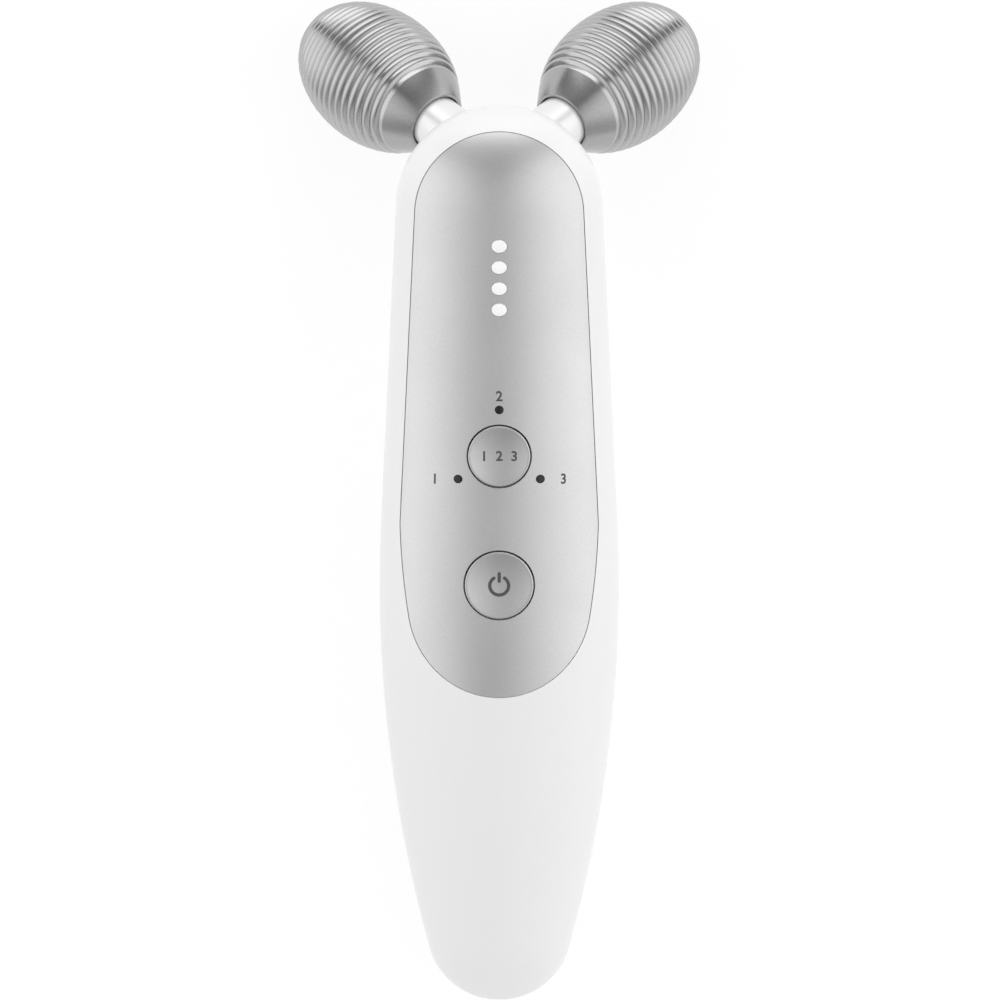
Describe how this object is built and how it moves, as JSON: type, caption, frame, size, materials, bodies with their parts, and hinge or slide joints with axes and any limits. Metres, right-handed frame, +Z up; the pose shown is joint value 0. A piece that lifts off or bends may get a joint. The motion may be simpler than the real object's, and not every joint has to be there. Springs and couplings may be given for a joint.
{
  "type": "facial toning device",
  "caption": "Hand-held facial toning device: egg-shaped white handle with a silver control panel, push buttons and a forked neck carrying ribbed metal rollers.",
  "frame": {"origin": "middle of the outer box on the table that the device lies on, under its middle in X and Y", "axes": "+Z up out of the control panel's side, +Y from the tail to the head, +X to the right when the panel is seen with the rollers at the top"},
  "size_m": [0.0808, 0.2005, 0.0555],
  "materials": {
    "white_shell": "smooth satin moulded plastic",
    "grey_seal": "soft silicone",
    "silver_panel": "fine satin metallic coating",
    "silver_button": "fine satin metallic coating",
    "light_guide": "milky diffuser",
    "dark_window": "smoked",
    "board_green": "solder resist",
    "switch_grey": "moulded",
    "ivory_plastic": "moulded",
    "light_chip": "clear resin",
    "chip_black": "moulded resin",
    "wound_copper": "enamelled wire and ferrite",
    "capacitor_tan": "ceramic",
    "cell_sleeve": "shrink sleeve over a metal can",
    "inner_plastic": "moulded",
    "foam_grey": "foam",
    "socket_grey": "moulded",
    "screw_steel": "zinc plated",
    "lead_red": "insulated lead",
    "lead_black": "insulated lead",
    "pearl_neck": "glossy pearl plastic",
    "axle_steel": "ground",
    "roller_plating": "satin bright plating",
    "bearing_brass": "turned",
    "bush_bronze": "sintered",
    "washer_grey": "low-friction plastic"
  },
  "bodies": {
    "handle": {"front_shell": "white_shell", "rear_shell": "white_shell", "case_seal": "grey_seal", "control_panel": "silver_panel", "level_light_guide": "light_guide", "mode_light_guide": "dark_window", "main_board": "board_green", "mode_switch": "switch_grey", "power_switch": "switch_grey", "level_leds": "light_chip", "mode_leds": "light_chip", "main_chip": "chip_black", "boost_coil": "wound_copper", "output_capacitors": "capacitor_tan", "battery_connector": "ivory_plastic", "battery_cell": "cell_sleeve", "battery_cradle": "inner_plastic", "battery_pad": "foam_grey", "charge_socket": "socket_grey", "neck_frame": "inner_plastic", "left_neck_sleeve": "pearl_neck", "right_neck_sleeve": "pearl_neck", "left_axle": "axle_steel", "right_axle": "axle_steel", "left_thrust_washer": "washer_grey", "right_thrust_washer": "washer_grey", "left_axle_clip": "axle_steel", "right_axle_clip": "axle_steel", "case_screws": "screw_steel", "board_screws": "screw_steel", "frame_screws": "screw_steel", "output_leads": "lead_red", "battery_leads": "lead_black", "charge_leads": "lead_red"},
    "mode_button": {"mode_button": "silver_button", "mode_plunger": "ivory_plastic"},
    "power_button": {"power_button": "silver_button", "power_plunger": "ivory_plastic"},
    "left_roller": {"left_ribbed_shell": "roller_plating", "left_roller_collar": "roller_plating", "left_bearing_sleeve": "bearing_brass", "left_inner_bush": "bush_bronze", "left_outer_bush": "bush_bronze"},
    "right_roller": {"right_ribbed_shell": "roller_plating", "right_roller_collar": "roller_plating", "right_bearing_sleeve": "bearing_brass", "right_inner_bush": "bush_bronze", "right_outer_bush": "bush_bronze"}
  },
  "joints": [
    {"name": "left_roller_spin", "type": "hinge", "parent": "handle", "child": "left_roller", "pos_m": [-0.02413, 0.08499, 0.01654], "axis": [-0.6032, 0.477, -0.6392], "continuous": true},
    {"name": "right_roller_spin", "type": "hinge", "parent": "handle", "child": "right_roller", "pos_m": [0.02413, 0.08499, 0.01654], "axis": [0.6032, 0.477, -0.6392], "continuous": true},
    {"name": "mode_button_press", "type": "slide", "parent": "handle", "child": "mode_button", "axis": [0, 0.2169, -0.9762], "range_m": [0, 0.0004], "stiffness_N_per_m": 1500, "springref_m": -0.0004},
    {"name": "power_button_press", "type": "slide", "parent": "handle", "child": "power_button", "axis": [0, 0.2169, -0.9762], "range_m": [0, 0.0004], "stiffness_N_per_m": 1500, "springref_m": -0.0004}
  ]
}
